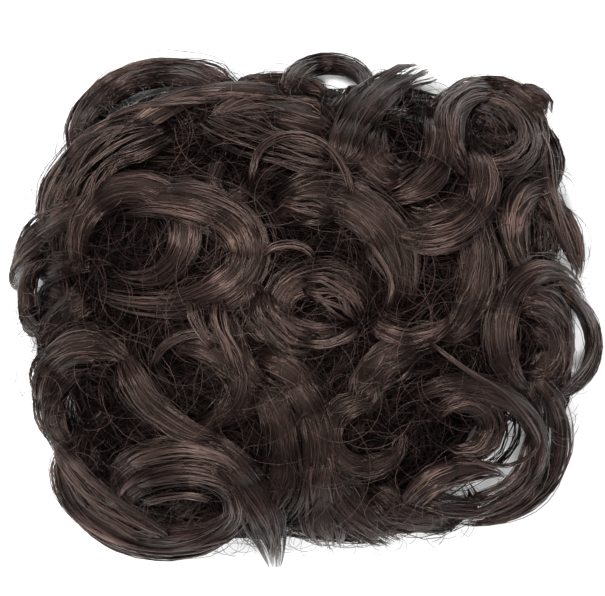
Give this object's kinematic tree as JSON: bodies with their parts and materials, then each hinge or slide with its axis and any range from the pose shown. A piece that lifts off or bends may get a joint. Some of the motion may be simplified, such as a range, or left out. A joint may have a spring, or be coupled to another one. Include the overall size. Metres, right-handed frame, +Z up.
{
  "type": "clip-in hairpiece",
  "caption": "Loose bun of dark brown curled locks on a domed cloth cap that is open below, with a clip comb at the front and rear of its mouth",
  "frame": {"origin": "on the ground, at the middle of the piece's width and depth, under the cap", "axes": "+Z up out of the crown of the curls, +X to the wearer's side along the width, +Y to the rear comb"},
  "size_m": [0.2008, 0.1732, 0.0669],
  "materials": {
    "hair": "curled synthetic fibre, dark brown with a soft gloss",
    "cap": "black-brown net cloth, matt",
    "comb": "black moulded plastic, satin"
  },
  "bodies": {
    "root": {"hair": "hair", "cap": "cap", "comb_front": "comb", "comb_rear": "comb"}
  },
  "joints": []
}
